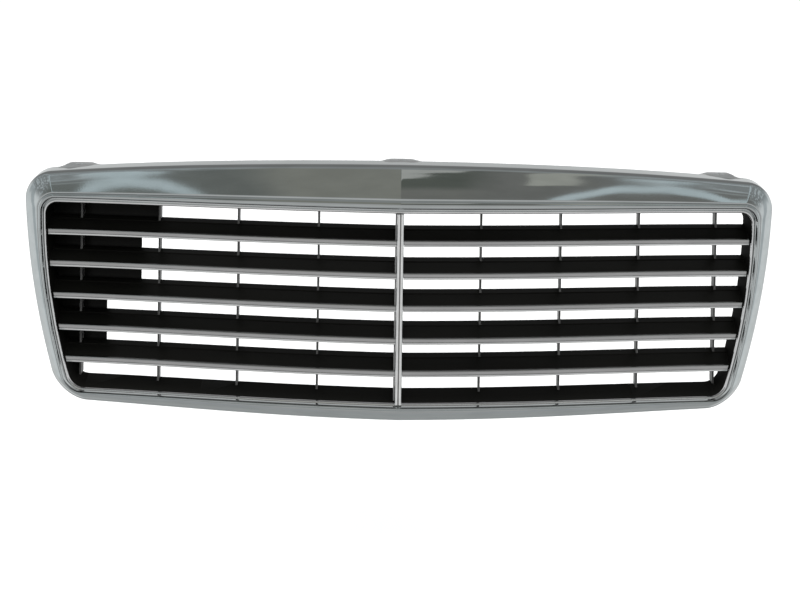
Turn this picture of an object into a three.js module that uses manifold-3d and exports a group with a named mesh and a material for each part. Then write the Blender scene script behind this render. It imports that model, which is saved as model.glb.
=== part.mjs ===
// Front grille of a saloon car: a chromed surround that carries a black louvred insert.
// Units are millimetres. X runs across the car, Y runs to the rear and Z runs up.
// The origin is on top of the middle bonnet ear, behind its hole, on the centre line.
import * as THREE from "three";
import { mergeVertices } from "three/addons/utils/BufferGeometryUtils.js";
import Module from "manifold-3d";

const wasm = await Module();
wasm.setup();

// ---------- Driving dimensions ----------

// The face that everything lies on: it leans back and sweeps back to both sides from a slight vee.
const LEAN = 0.182; // backward lean for each unit of height
const SURROUND_HALF_WIDTH = 367.8;
const SWEEP_REACH = 0.964 * SURROUND_HALF_WIDTH; // where the three sweep terms below are given
const SWEEP_VEE = 18.2;
const SWEEP_CURVE = 51.8;
const SWEEP_EASING = -24.6;

// The louvre rows, counted down from the first slat, whose middle is at height 0.
const ROW_PITCH = 30.5;
const SLAT_ROWS = 5;
const HEAD_DROP = 2; // the opening's upper edge, below where the middle of a slat above the first would be
const SILL_LIFT = 0.5; // the opening's lower edge, above where a sixth slat's top would be
const RIBS_PER_SIDE = 4;
const END_BAY = 30.4; // from the last rib to the opening's side, at the shoulder

// Outlines seen from the front. The sides are given at SHOULDER height and taper downwards.
const SHOULDER = 0.787 * ROW_PITCH;
const TAPER_HEIGHT = 6.066 * ROW_PITCH; // height over which the taper values below are given
const TOP_RAIL_HEIGHT = 44.3; // from the opening to the surround's top edge, at the centre
const SURROUND_TOP_PEAK = 2.3; // straight fall of the top edge from the centre to the side
const SURROUND_TOP_CROWN = 15.4; // curved fall of the top edge
const SURROUND_TAPER = 10.6;
const SURROUND_TAPER_CURVE = 25.2;
const SURROUND_TOP_RADIUS = 26;
const SURROUND_BOTTOM_RADIUS = 26;
const BOTTOM_RAIL_HEIGHT = 16.1;
const BOTTOM_RAIL_RISE = 6.2; // rise of the lower edge at the side
const SIDE_RAIL_WIDTH = 21.4; // from the opening to the surround's side, at the shoulder
const OPENING_TAPER_CURVE = 31.5;
const OPENING_RADIUS = 11;

// The surround's hollow section.
const WALL = 2.2;
const SHOULDER_WIDTH = 2.6; // rounded edge between the flange and the chrome face
const BEAD_HEIGHT = 12.2; // how far the bead stands in front of the slats
const SIDE_REVEAL = 2.2; // trim ring seen inside the surround at the sides
const TOP_REVEAL = 4.9;
const BOTTOM_REVEAL = 1.2;
const FLANGE_DEPTH = 28; // rear edge of the surround, behind the slat fronts
const FLANGE_FLARE = 2.2;

// Bonnet ears: a ramp rises from the top flange to a flat pad behind it.
const SIDE_EAR_SETIN = 47.8; // middle of a side ear, in from the surround's side
const EAR_BASE_WIDTH = 44;
const EAR_WIDTH = 22;
const EAR_LENGTH = 15; // of the pad, behind the flange's rear edge
const EAR_RAMP = 9; // length of the ramp, in front of that edge
const EAR_THICKNESS = 2.4;
const MIDDLE_EAR_RISE = 0.7;
const SIDE_EAR_RISE = 1.9;
const EAR_HOLE_RADIUS = 3.7;
const EAR_HOLE_SETBACK = 0.5; // middle of the hole, behind the flange's rear edge
const EAR_SEAT_SETBACK = 9; // the seat on the pad, behind the hole

// Trim ring, carrier and what they hold.
const RING_FRONT = -2.6;
const RING_COVER = 2.8; // how far the trim ring runs on behind the surround's inner edge
const RING_THICKNESS = 1.6;
const RING_BACK = 1;
const RING_LEDGE = 0.4; // the ring's covered edge, behind its front
const RIM_CLEARANCE = 0.4; // between the surround's rear rim and the ring's front
const CARRIER_DEPTH = 36;
const CARRIER_WALL = 2.2;
const CARRIER_INSET = 0.6; // the carrier's wall, outside the trim ring's edge
const CARRIER_FLANGE_DEPTH = 14;
const CARRIER_FLANGE_WIDTH = 6;
const SILL_RISE = 6; // the carrier's lower wall slopes up to the rear like a louvre
const SLAT_HEIGHT = 5.8;
const SLAT_DEPTH = 5;
const SLAT_END_GAP = 1.8;
const SLAT_BAR_GAP = 0.9;
const SLAT_SEAT = 1.8; // depth of the slot in a slat, behind its front
const BLADE_DEPTH = CARRIER_DEPTH - 4;
const BLADE_RISE = 11.3; // rise of a louvre's upper face from front to rear
const BLADE_THICKNESS = 2.4;
const BLADE_REAR_THICKNESS = 1.8;
const BLADE_STEP = 0.5; // ledge on the louvre where the ribs stand
const RIB_THICKNESS = 1.8;
const RIB_REAR = CARRIER_DEPTH;
const RIB_FRONT = RIB_REAR - 11.5;
const POST_WIDTH = 5.2;
const POST_OFFSET = 2; // the post's middle, to the left of the centre line
const BAR_WIDTH = 6.6;
const BAR_FRONT = -5.3;
const BAR_GROOVE = 1.3;
const PANEL_THICKNESS = 2;
const PANEL_GAP = 0.8; // between the flat-sided panel and the swept pieces that it covers
const PANEL_OVERLAP = 9.5; // how far the blanking panel laps over the carrier
const PANEL_SILL_LAP = 1;
const PANEL_BAYS = [1.006, 0.747, 0.747, 0.304, 0.304, -0.033]; // bays covered beyond the end bay, by row

// Fasteners.
const SCREW_RADIUS = 1.9;
const SCREW_LENGTH = 12;
const SCREW_HEAD_RADIUS = 4;
const SCREW_HEAD_HEIGHT = 2.4;
const BOSS_RADIUS = 3.5;
const TAB_WIDTH = 11;
const TAB_THICKNESS = 2.2;
const TOP_SCREWS = [92, 250]; // distance from the centre line
const SIDE_SCREW_INSET = 0.4; // from the middle of the side rail towards the opening
const TOP_SCREW_RISE = 9.5; // above the surround's inner edge
const SIDE_SCREW_ROWS = [0.5, 3.5]; // heights of the side screws, in rows below the first slat
const PANEL_SCREW_SETIN = 56.4; // the panel's top screw, in from the opening's side
const PANEL_SCREW_ROWS = [1.5, 3.75];
const SCREW_CLEARANCE = 0.5; // round a screw in a tab or in the panel
const HEAD_CLEARANCE = 1; // between the panel and the heads of its screws
const ROOT_BITE = 1; // how far a boss or a tab runs into the wall that it grows from

const TOUCHING_GAP = 0.3; // left between pieces that touch
const NOSE_CLEARANCE = 0.5; // between a louvre's nose and the slat clipped over it
const NOTCH_CLEARANCE = 0.4; // between a louvre and the rib that it is slotted into

// Steps along curves.
const EDGE_STEPS = 8;
const SIDE_STEPS = 6;
const CORNER_STEPS = 5;
const RUN_STEPS = 14;
const ROUND_SEGMENTS = 14;

// ---------- Materials ----------

const chrome = new THREE.MeshStandardMaterial({ color: 0xb9bdbe, roughness: 0.1, metalness: 1 });
const trimChrome = new THREE.MeshStandardMaterial({ color: 0xc4c6c6, roughness: 0.14, metalness: 1 });
const blackPlastic = new THREE.MeshStandardMaterial({ color: 0x0d0d0c, roughness: 0.42, metalness: 0 });
const zincSteel = new THREE.MeshStandardMaterial({ color: 0x9a9a92, roughness: 0.35, metalness: 1 });

// ---------- The swept face ----------

function sweep(x) {
  const t = Math.abs(x) / SWEEP_REACH;
  return SWEEP_VEE * t + SWEEP_CURVE * t ** 2 + SWEEP_EASING * t ** 4;
}

// A point at a given depth behind the face on which the slats' fronts lie.
function onFace(x, z, depth) {
  return new THREE.Vector3(x, sweep(x) + LEAN * z + depth, z);
}

const rowHeight = (row) => -row * ROW_PITCH;

// ---------- Outlines ----------

// Half an outline, from its top centre to its bottom centre, and then the whole mirrored loop.
function outline({ halfWidth, top, peak, crown, taper, taperCurve, bottom, rise, topRadius, bottomRadius }) {
  const topAt = (x) => top - peak * (x / halfWidth) - crown * (x / halfWidth) ** 2;
  const sideAt = (z) => {
    const fall = (SHOULDER - z) / TAPER_HEIGHT;
    return halfWidth - taper * fall - taperCurve * fall * Math.abs(fall);
  };
  const bottomAt = (x) => bottom + rise * (x / halfWidth) ** 2;
  const topCorner = new THREE.Vector2(sideAt(topAt(halfWidth)), topAt(halfWidth));
  const lowCorner = new THREE.Vector2(sideAt(bottom), bottomAt(sideAt(bottom)));
  const topEnd = topCorner.x - topRadius;
  const sideStart = topCorner.y - topRadius;
  const sideEnd = lowCorner.y + bottomRadius;
  const bottomStart = lowCorner.x - bottomRadius;
  const half = [];
  for (let i = 0; i < EDGE_STEPS; i++) {
    const x = (topEnd * i) / EDGE_STEPS;
    half.push(new THREE.Vector2(x, topAt(x)));
  }
  const upper = roundCorner([topEnd, topAt(topEnd)], topCorner, [sideAt(sideStart), sideStart]);
  half.push(...upper.slice(0, -1));
  for (let i = 0; i < SIDE_STEPS; i++) {
    const z = THREE.MathUtils.lerp(sideStart, sideEnd, i / SIDE_STEPS);
    half.push(new THREE.Vector2(sideAt(z), z));
  }
  const lower = roundCorner([sideAt(sideEnd), sideEnd], lowCorner, [bottomStart, bottomAt(bottomStart)]);
  half.push(...lower.slice(0, -1));
  for (let i = 0; i <= EDGE_STEPS; i++) {
    const x = bottomStart * (1 - i / EDGE_STEPS);
    half.push(new THREE.Vector2(x, bottomAt(x)));
  }
  const mirrored = half.slice(1, -1).reverse();
  const loop = [...half, ...mirrored.map((p) => new THREE.Vector2(-p.x, p.y))];
  return { half, loop };
}

function roundCorner(from, corner, to) {
  const CIRCLE = 0.5523;
  const start = new THREE.Vector2(...from);
  const end = new THREE.Vector2(...to);
  const startHandle = start.clone().lerp(corner, CIRCLE);
  const endHandle = end.clone().lerp(corner, CIRCLE);
  return new THREE.CubicBezierCurve(start, startHandle, endHandle, end).getPoints(CORNER_STEPS);
}

const openingHalfWidth = SURROUND_HALF_WIDTH - SIDE_RAIL_WIDTH;
const openingTop = ROW_PITCH - HEAD_DROP;
const openingBottom = rowHeight(SLAT_ROWS) + SLAT_HEIGHT / 2 + SILL_LIFT;
const innerBottom = openingBottom - BOTTOM_REVEAL;
const surroundTop = openingTop + TOP_RAIL_HEIGHT;
const ribPitch = (openingHalfWidth - END_BAY) / RIBS_PER_SIDE;

const outerOutline = outline({
  halfWidth: SURROUND_HALF_WIDTH,
  top: surroundTop,
  peak: SURROUND_TOP_PEAK,
  crown: SURROUND_TOP_CROWN,
  taper: SURROUND_TAPER,
  taperCurve: SURROUND_TAPER_CURVE,
  bottom: innerBottom - BOTTOM_RAIL_HEIGHT,
  rise: BOTTOM_RAIL_RISE,
  topRadius: SURROUND_TOP_RADIUS,
  bottomRadius: SURROUND_BOTTOM_RADIUS,
});

// The opening in the insert, grown by a reveal on each side.
function openingOutline(side, top, bottom, sillRise) {
  return outline({
    halfWidth: openingHalfWidth + side,
    top: openingTop + top,
    peak: 0,
    crown: 0,
    taper: 0,
    taperCurve: OPENING_TAPER_CURVE,
    bottom: openingBottom - bottom + sillRise,
    rise: 0,
    topRadius: OPENING_RADIUS + side,
    bottomRadius: OPENING_RADIUS + side,
  });
}

const innerOutline = openingOutline(SIDE_REVEAL, TOP_REVEAL, BOTTOM_REVEAL, 0);
const ringOutline = openingOutline(0, 0, 0, 0);
const rearOutline = openingOutline(0, 0, 0, SILL_RISE);

const LOOP_POINTS = outerOutline.loop.length;
const outward = outerOutline.loop.map((p, i) => p.clone().sub(ringOutline.loop[i]).normalize());

// Half-width of an outline at a height on its side, and the height of its lower edge at a distance.
function halfWidthAt(shape, z) {
  const i = shape.half.findIndex((p, n) => n >= EDGE_STEPS && p.y <= z);
  const [a, b] = [shape.half[i - 1], shape.half[i]];
  return THREE.MathUtils.lerp(a.x, b.x, (a.y - z) / (a.y - b.y));
}

function bottomAt(shape, x) {
  const points = shape.half;
  const i = points.findLastIndex((p, n) => n < points.length - 1 && p.x >= Math.abs(x));
  const [a, b] = [points[i], points[i + 1]];
  return THREE.MathUtils.lerp(a.y, b.y, (a.x - Math.abs(x)) / (a.x - b.x));
}

// ---------- Mesh helpers ----------

function closedGeometry(positions, index) {
  let volume = 0;
  const [a, b, c] = [new THREE.Vector3(), new THREE.Vector3(), new THREE.Vector3()];
  for (let i = 0; i < index.length; i += 3) {
    a.fromArray(positions, index[i] * 3);
    b.fromArray(positions, index[i + 1] * 3);
    c.fromArray(positions, index[i + 2] * 3);
    volume += a.dot(b.cross(c));
  }
  if (volume < 0) index.reverse();
  const geometry = new THREE.BufferGeometry();
  geometry.setAttribute("position", new THREE.Float32BufferAttribute(positions, 3));
  geometry.setIndex(index);
  return geometry;
}

// A closed section carried round a whole loop. place(station, i) puts a section point at loop point i.
function ringGeometry(section, place) {
  const positions = section.flatMap((station) =>
    Array.from({ length: LOOP_POINTS }, (_, i) => place(station, i).toArray()).flat(),
  );
  const index = [];
  section.forEach((_, s) => {
    const next = (s + 1) % section.length;
    for (let i = 0; i < LOOP_POINTS; i++) {
      const j = (i + 1) % LOOP_POINTS;
      const [a, b] = [s * LOOP_POINTS + i, s * LOOP_POINTS + j];
      const [c, d] = [next * LOOP_POINTS + i, next * LOOP_POINTS + j];
      index.push(a, b, c, b, d, c);
    }
  });
  return closedGeometry(positions, index);
}

// A closed profile carried from one end to the other, with flat ends. place(point, t) has t from 0 to 1.
function runGeometry(profile, steps, place) {
  const positions = [];
  const index = [];
  const count = profile.length;
  for (let step = 0; step <= steps; step++)
    profile.forEach((point) => positions.push(...place(point, step / steps).toArray()));
  for (let step = 0; step < steps; step++)
    for (let i = 0; i < count; i++) {
      const j = (i + 1) % count;
      const [a, b] = [step * count + i, step * count + j];
      index.push(a, b, a + count, b, b + count, a + count);
    }
  const flat = profile.map(([u, v]) => new THREE.Vector2(u, v));
  const turn = Math.sign(THREE.ShapeUtils.area(flat));
  const last = steps * count;
  THREE.ShapeUtils.triangulateShape(flat, []).forEach((cap) => {
    const along = Math.sign(THREE.ShapeUtils.area(cap.map((i) => flat[i]))) === turn;
    const [a, b, c] = along ? cap : [...cap].reverse();
    index.push(c, b, a, a + last, b + last, c + last);
  });
  return closedGeometry(positions, index);
}

function solid(geometry) {
  const plain = geometry.clone();
  plain.deleteAttribute("normal");
  plain.deleteAttribute("uv");
  const merged = mergeVertices(plain, 1e-4);
  const triVerts = new Uint32Array(merged.index.array);
  const vertProperties = merged.attributes.position.array;
  return new wasm.Manifold(new wasm.Mesh({ numProp: 3, vertProperties, triVerts }));
}

function geometryOf(body) {
  const mesh = body.getMesh();
  const geometry = new THREE.BufferGeometry();
  geometry.setAttribute("position", new THREE.BufferAttribute(mesh.vertProperties, 3));
  geometry.setIndex(new THREE.BufferAttribute(mesh.triVerts, 1));
  return geometry;
}

// A rod along Y between two depths.
function rod(x, z, radius, near, far) {
  const geometry = new THREE.CylinderGeometry(radius, radius, far - near, ROUND_SEGMENTS);
  return geometry.translate(x, (near + far) / 2, z);
}

function block(width, depth, height, x, y, z) {
  return new THREE.BoxGeometry(width, depth, height).translate(x, y, z);
}

const model = new THREE.Group();

function addPiece(name, geometry, material) {
  const mesh = new THREE.Mesh(geometry, material);
  mesh.name = name;
  model.add(mesh);
  return mesh;
}

// Both hands of a piece: the name's suffix and the sign of X.
const SIDES = [
  ["left", -1],
  ["right", 1],
];

// ---------- Fastening points ----------

const tabFront = CARRIER_FLANGE_DEPTH;
const tabRear = tabFront + TAB_THICKNESS;

// Each insert screw: where it is, and the direction from the opening out to it.
const insertScrews = SIDES.flatMap(([side, hand]) => [
  ...TOP_SCREWS.map((x, n) => ({
    name: `insert_screw_top_${side}_${n + 1}`,
    x: hand * x,
    z: openingTop + TOP_REVEAL + TOP_SCREW_RISE,
    out: [0, 1],
    inner: openingTop,
  })),
  ...SIDE_SCREW_ROWS.map(rowHeight).map((z, n) => {
    const inner = halfWidthAt(innerOutline, z);
    return {
      name: `insert_screw_side_${side}_${n + 1}`,
      x: hand * ((inner + halfWidthAt(outerOutline, z)) / 2 - SIDE_SCREW_INSET),
      z,
      out: [hand, 0],
      inner: hand * halfWidthAt(ringOutline, z),
    };
  }),
]);

// Height of the surround's top edge at a distance from the centre line.
function topEdgeAt(x) {
  const reach = Math.abs(x) / SURROUND_HALF_WIDTH;
  return surroundTop - SURROUND_TOP_PEAK * reach - SURROUND_TOP_CROWN * reach ** 2;
}

// Each bonnet ear: its middle, the flange's rear edge there, and the height of its pad.
const ears = [-1, 0, 1].map((place) => {
  const x = place * (SURROUND_HALF_WIDTH - SIDE_EAR_SETIN);
  const flangeTop = topEdgeAt(x) + FLANGE_FLARE;
  const rise = place === 0 ? MIDDLE_EAR_RISE : SIDE_EAR_RISE;
  return {
    name: ["left", "middle", "right"][place + 1],
    x,
    rearEdge: sweep(x) + LEAN * flangeTop + FLANGE_DEPTH,
    flangeTop,
    padTop: flangeTop + rise,
  };
});

// ---------- Surround ----------

// Each station: distance in from the outer edge, share of the face's width, distance from the
// inner edge where that rules instead, and depth.
const face = (share, depth) => ({ share, depth });
const edge = (inset, depth) => ({ inset, depth });
const rim = (back, depth) => ({ back, depth });
const returnDepth = RING_FRONT - RIM_CLEARANCE;

const surroundSection = [
  edge(-FLANGE_FLARE, FLANGE_DEPTH),
  edge(-0.2, 6),
  edge(0.9, 2.6),
  edge(SHOULDER_WIDTH, 0.6),
  face(0.12, -1.4),
  face(0.32, -4.9),
  face(0.55, -8.0),
  face(0.74, -9.9),
  face(0.775, -9.4),
  face(0.82, -BEAD_HEIGHT + 0.9),
  face(0.9, -BEAD_HEIGHT),
  face(0.97, -BEAD_HEIGHT + 1.1),
  rim(0, -BEAD_HEIGHT + 3.2),
  rim(0, returnDepth),
  rim(WALL, returnDepth),
  rim(WALL, -7.4),
  face(0.55, -5.4),
  face(0.14, 1.4),
  edge(WALL, 6),
  edge(WALL - FLANGE_FLARE, FLANGE_DEPTH),
];

function placeSurround(station, i) {
  const outer = outerOutline.loop[i];
  const inner = innerOutline.loop[i];
  const width = outer.distanceTo(inner);
  let inset = station.inset;
  if (station.share !== undefined) inset = SHOULDER_WIDTH + station.share * (width - SHOULDER_WIDTH);
  if (station.back !== undefined) inset = width - station.back;
  const p = outer.clone().lerp(inner, inset / width);
  return onFace(p.x, p.y, station.depth);
}

function buildSurround() {
  let body = solid(ringGeometry(surroundSection, placeSurround));
  for (const screw of insertScrews) {
    const seat = sweep(screw.x) + LEAN * screw.z;
    const end = seat + tabFront - TOUCHING_GAP;
    body = body.add(solid(bossGeometry(screw, end)));
    const holeEnd = seat + tabRear - SCREW_LENGTH - 1;
    const hole = rod(screw.x, screw.z, SCREW_RADIUS + TOUCHING_GAP, holeEnd, end + 1);
    body = body.subtract(solid(hole));
  }
  for (const ear of ears) {
    body = body.add(solid(earPad(ear))).add(solid(earRamp(ear)));
    body = body.subtract(solid(earHole(ear)));
  }
  addPiece("surround_frame", geometryOf(body), chrome);
}

// A round boss whose root follows the chrome face, inside the face's skin.
function bossGeometry(screw, end) {
  const ROOT = 1.2; // distance of the root behind the chrome face
  const circle = Array.from({ length: ROUND_SEGMENTS }, (_, n) => {
    const angle = (2 * Math.PI * n) / ROUND_SEGMENTS;
    return [BOSS_RADIUS * Math.cos(angle), BOSS_RADIUS * Math.sin(angle)];
  });
  return runGeometry(circle, 1, ([dx, dz], t) => {
    const [x, z] = [screw.x + dx, screw.z + dz];
    const root = sweep(x) + LEAN * z + chromeDepthAt(x, z, screw.out) + ROOT;
    return new THREE.Vector3(x, THREE.MathUtils.lerp(root, end, t), z);
  });
}

// Depth of the chrome face on the top rail, or on a side rail where out points sideways.
function chromeDepthAt(x, z, [sideways]) {
  const outer = (sideways ? halfWidthAt(outerOutline, z) : topEdgeAt(x)) - SHOULDER_WIDTH;
  const inner = sideways ? halfWidthAt(innerOutline, z) : openingTop + TOP_REVEAL;
  const share = (outer - (sideways ? Math.abs(x) : z)) / (outer - inner);
  const stations = surroundSection.filter((s) => s.share !== undefined).slice(0, 4);
  const i = Math.max(1, stations.findIndex((s) => s.share >= share));
  const [a, b] = [stations[i - 1], stations[i]];
  return THREE.MathUtils.mapLinear(share, a.share, b.share, a.depth, b.depth);
}

// The flat pad behind the flange, which narrows to the rear.
function earPad(ear) {
  const ROOT = 4; // length of the pad inside the ramp
  const [base, rear] = [EAR_BASE_WIDTH / 2, EAR_WIDTH / 2];
  const pad = [
    [-base, -ROOT],
    [base, -ROOT],
    [base, 0],
    [(base + rear) / 2, EAR_LENGTH * 0.6],
    [rear, EAR_LENGTH],
    [-rear, EAR_LENGTH],
    [-(base + rear) / 2, EAR_LENGTH * 0.6],
    [-base, 0],
  ];
  const low = ear.padTop - EAR_THICKNESS;
  const place = ([x, y], t) =>
    new THREE.Vector3(ear.x + x, ear.rearEdge + y, THREE.MathUtils.lerp(low, ear.padTop, t));
  return runGeometry(pad, 1, place);
}

// The ramp from the flange up to the pad: its front end is as low as the flange's top.
function earRamp(ear) {
  const foot = ear.flangeTop - WALL;
  const flat = WALL / (ear.padTop - foot); // height of the ramp's front, as a share of its rear
  const front = [
    [-EAR_BASE_WIDTH / 2, 0],
    [EAR_BASE_WIDTH / 2, 0],
    [EAR_BASE_WIDTH / 2, ear.padTop - foot],
    [-EAR_BASE_WIDTH / 2, ear.padTop - foot],
  ];
  const place = ([x, height], t) => {
    const y = ear.rearEdge - EAR_RAMP * (1 - t);
    return new THREE.Vector3(ear.x + x, y, foot + height * THREE.MathUtils.lerp(flat, 1, t));
  };
  return runGeometry(front, 1, place);
}

function earHole(ear) {
  const height = 10 * EAR_THICKNESS;
  const hole = new THREE.CylinderGeometry(EAR_HOLE_RADIUS, EAR_HOLE_RADIUS, height, ROUND_SEGMENTS);
  return hole.rotateX(Math.PI / 2).translate(ear.x, ear.rearEdge + EAR_HOLE_SETBACK, ear.padTop);
}

// ---------- Trim ring and carrier ----------

// A station of the insert's rings: distance out from the opening's edge, and depth.
function placeInsert([out, depth], i) {
  const t = THREE.MathUtils.clamp(depth / CARRIER_DEPTH, 0, 1);
  const p = ringOutline.loop[i].clone().lerp(rearOutline.loop[i], t);
  p.addScaledVector(outward[i], out);
  return onFace(p.x, p.y, depth);
}

// The trim ring's covered edge lies beyond the surround's inner edge.
function placeTrim({ out, covered, depth }, i) {
  const reveal = innerOutline.loop[i].distanceTo(ringOutline.loop[i]);
  return placeInsert([covered ? reveal + RING_COVER : out, depth], i);
}

function buildTrimRing() {
  const ledge = RING_FRONT + RING_LEDGE;
  const back = ledge + RING_THICKNESS;
  const section = [
    { out: 0, depth: RING_BACK },
    { out: 0, depth: RING_FRONT + 1.4 },
    { out: 0.8, depth: RING_FRONT + 0.3 },
    { out: 1.8, depth: RING_FRONT },
    { out: 2.9, depth: ledge },
    { covered: true, depth: ledge },
    { covered: true, depth: back },
    { out: 1.8, depth: back },
    { out: 1.8, depth: RING_BACK },
  ];
  addPiece("trim_ring", ringGeometry(section, placeTrim), trimChrome);
}

const carrierFront = RING_BACK + TOUCHING_GAP;
const carrierOuter = CARRIER_INSET + CARRIER_WALL;

// The blanking panel's screws: at the top, at the side and low on the side, all on the left.
const panelScrews = [
  {
    name: "panel_screw_top",
    x: PANEL_SCREW_SETIN - openingHalfWidth,
    z: openingTop + carrierOuter + BOSS_RADIUS - ROOT_BITE,
  },
  ...PANEL_SCREW_ROWS.map(rowHeight).map((z, n) => ({
    name: `panel_screw_side_${n + 1}`,
    x: -(halfWidthAt(ringOutline, z) + carrierOuter + BOSS_RADIUS - ROOT_BITE),
    z,
  })),
];

function buildCarrier() {
  const SEAT_WIDTH = 6;
  const SEAT_THICKNESS = 2;
  const section = [
    [CARRIER_INSET, carrierFront],
    [CARRIER_INSET, CARRIER_DEPTH],
    [carrierOuter, CARRIER_DEPTH],
    [carrierOuter, tabRear],
    [CARRIER_FLANGE_WIDTH, tabRear],
    [CARRIER_FLANGE_WIDTH, tabFront],
    [carrierOuter, tabFront],
    [carrierOuter, carrierFront + SEAT_THICKNESS],
    [SEAT_WIDTH, carrierFront + SEAT_THICKNESS],
    [SEAT_WIDTH, carrierFront],
  ];
  let body = solid(ringGeometry(section, placeInsert));
  for (const screw of insertScrews) body = body.add(solid(screwTab(screw)));
  for (const screw of insertScrews) {
    const seat = sweep(screw.x) + LEAN * screw.z;
    const hole = rod(screw.x, screw.z, SCREW_RADIUS + SCREW_CLEARANCE, seat + tabFront - 1, seat + tabRear + 1);
    body = body.subtract(solid(hole));
  }
  for (const screw of panelScrews) {
    const rear = sweep(screw.x) + LEAN * screw.z + CARRIER_DEPTH;
    const BOSS_LENGTH = 16;
    body = body.add(solid(rod(screw.x, screw.z, BOSS_RADIUS, rear - BOSS_LENGTH, rear)));
    const pilot = rod(screw.x, screw.z, SCREW_RADIUS + TOUCHING_GAP, rear - SCREW_LENGTH, rear + 1);
    body = body.subtract(solid(pilot));
  }
  addPiece("insert_carrier", geometryOf(body), blackPlastic);
}

// A tab from the carrier's flange out to an insert screw.
function screwTab(screw) {
  const [dx, dz] = screw.out;
  const seat = sweep(screw.x) + LEAN * screw.z;
  const y = seat + tabFront + TAB_THICKNESS / 2;
  const TAB_END = 4.3;
  if (dx === 0) {
    const low = screw.inner + carrierOuter - ROOT_BITE;
    const high = screw.z + TAB_END;
    return block(TAB_WIDTH, TAB_THICKNESS, high - low, screw.x, y, (low + high) / 2);
  }
  const near = screw.inner + dx * (carrierOuter - ROOT_BITE);
  const far = screw.x + dx * TAB_END;
  return block(Math.abs(far - near), TAB_THICKNESS, TAB_WIDTH, (near + far) / 2, y, screw.z);
}

// ---------- Louvres, slats, ribs, post and bar ----------

const bladeTail = BLADE_DEPTH - SLAT_DEPTH;
const bladeTop = (depth) => BLADE_THICKNESS / 2 + (BLADE_RISE * (depth - SLAT_DEPTH)) / bladeTail;
const noseFront = SLAT_SEAT + TOUCHING_GAP;

const bladeProfile = [
  [noseFront, BLADE_THICKNESS / 2],
  [SLAT_DEPTH, BLADE_THICKNESS / 2],
  [RIB_FRONT - 1, bladeTop(RIB_FRONT - 1)],
  [RIB_FRONT - 0.6, bladeTop(RIB_FRONT) + BLADE_STEP],
  [BLADE_DEPTH, bladeTop(BLADE_DEPTH)],
  [BLADE_DEPTH, bladeTop(BLADE_DEPTH) - BLADE_REAR_THICKNESS],
  [SLAT_DEPTH, -BLADE_THICKNESS / 2],
  [noseFront, -BLADE_THICKNESS / 2],
];

const slotHalf = BLADE_THICKNESS / 2 + NOSE_CLEARANCE;
const slatTop = SLAT_HEIGHT / 2;
const slatProfile = [
  [SLAT_DEPTH, slatTop],
  [1, slatTop],
  [0.3, slatTop - 0.7],
  [0.3, -0.4],
  [0.9, -0.8],
  [0.2, -1.2],
  [-0.2, -2.1],
  [0.3, 0.2 - slatTop],
  [1.2, -slatTop],
  [SLAT_DEPTH, -slatTop],
  [SLAT_DEPTH, -slotHalf],
  [SLAT_SEAT - NOSE_CLEARANCE + TOUCHING_GAP, -slotHalf],
  [SLAT_SEAT - NOSE_CLEARANCE + TOUCHING_GAP, slotHalf],
  [SLAT_DEPTH, slotHalf],
];

// A piece that runs out from near the centre line to the opening's side in one row.
function rowPiece(profile, row, hand, start, endGap) {
  const z0 = rowHeight(row);
  return runGeometry(profile, RUN_STEPS, ([depth, dz], t) => {
    const z = z0 + dz;
    const end = halfWidthAt(ringOutline, z) - endGap;
    return onFace(hand * THREE.MathUtils.lerp(start, end, t), z, depth);
  });
}

function buildRows() {
  const slatStart = BAR_WIDTH / 2 + SLAT_BAR_GAP;
  for (let row = 0; row < SLAT_ROWS; row++)
    for (const [side, hand] of SIDES) {
      const bladeStart = POST_WIDTH / 2 - hand * POST_OFFSET + TOUCHING_GAP;
      const blade = rowPiece(bladeProfile, row, hand, bladeStart, TOUCHING_GAP - CARRIER_INSET);
      addPiece(`louvre_${side}_${row + 1}`, blade, blackPlastic);
      const slat = rowPiece(slatProfile, row, hand, slatStart, SLAT_END_GAP);
      addPiece(`slat_${side}_${row + 1}`, slat, trimChrome);
    }
}

// Height of the carrier's lower wall at a distance from the centre and a depth.
function sillAt(x, depth) {
  const t = depth / CARRIER_DEPTH;
  const level = THREE.MathUtils.lerp(bottomAt(ringOutline, x), bottomAt(rearOutline, x), t);
  return level - CARRIER_INSET;
}

// An upright plate with slots open to the front for the louvres.
function ribProfile(x) {
  const top = openingTop + CARRIER_INSET - TOUCHING_GAP;
  const low = (depth) => sillAt(x, depth) + TOUCHING_GAP + NOTCH_CLEARANCE;
  const points = [
    [RIB_REAR, top],
    [RIB_FRONT, top],
  ];
  for (let row = 0; row < SLAT_ROWS; row++) {
    const z0 = rowHeight(row);
    const upper = (depth) => z0 + bladeTop(depth) + BLADE_STEP + NOTCH_CLEARANCE;
    const lower = (depth) => z0 + bladeTop(depth) - BLADE_THICKNESS - NOTCH_CLEARANCE;
    const slotEnd = BLADE_DEPTH + NOTCH_CLEARANCE;
    points.push([RIB_FRONT, upper(RIB_FRONT)], [slotEnd, upper(slotEnd)]);
    points.push([slotEnd, lower(slotEnd)], [RIB_FRONT, lower(RIB_FRONT)]);
  }
  points.push([RIB_FRONT, low(RIB_FRONT)], [RIB_REAR, low(RIB_REAR)]);
  return points;
}

function buildRibs() {
  for (const [side, hand] of SIDES)
    for (let n = 1; n <= RIBS_PER_SIDE; n++) {
      const x = hand * n * ribPitch;
      const y0 = sweep(x);
      const place = ([depth, z], t) =>
        new THREE.Vector3(x + RIB_THICKNESS * (t - 0.5), y0 + LEAN * z + depth, z);
      addPiece(`rib_${side}_${n}`, runGeometry(ribProfile(x), 1, place), blackPlastic);
    }
}

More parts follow.
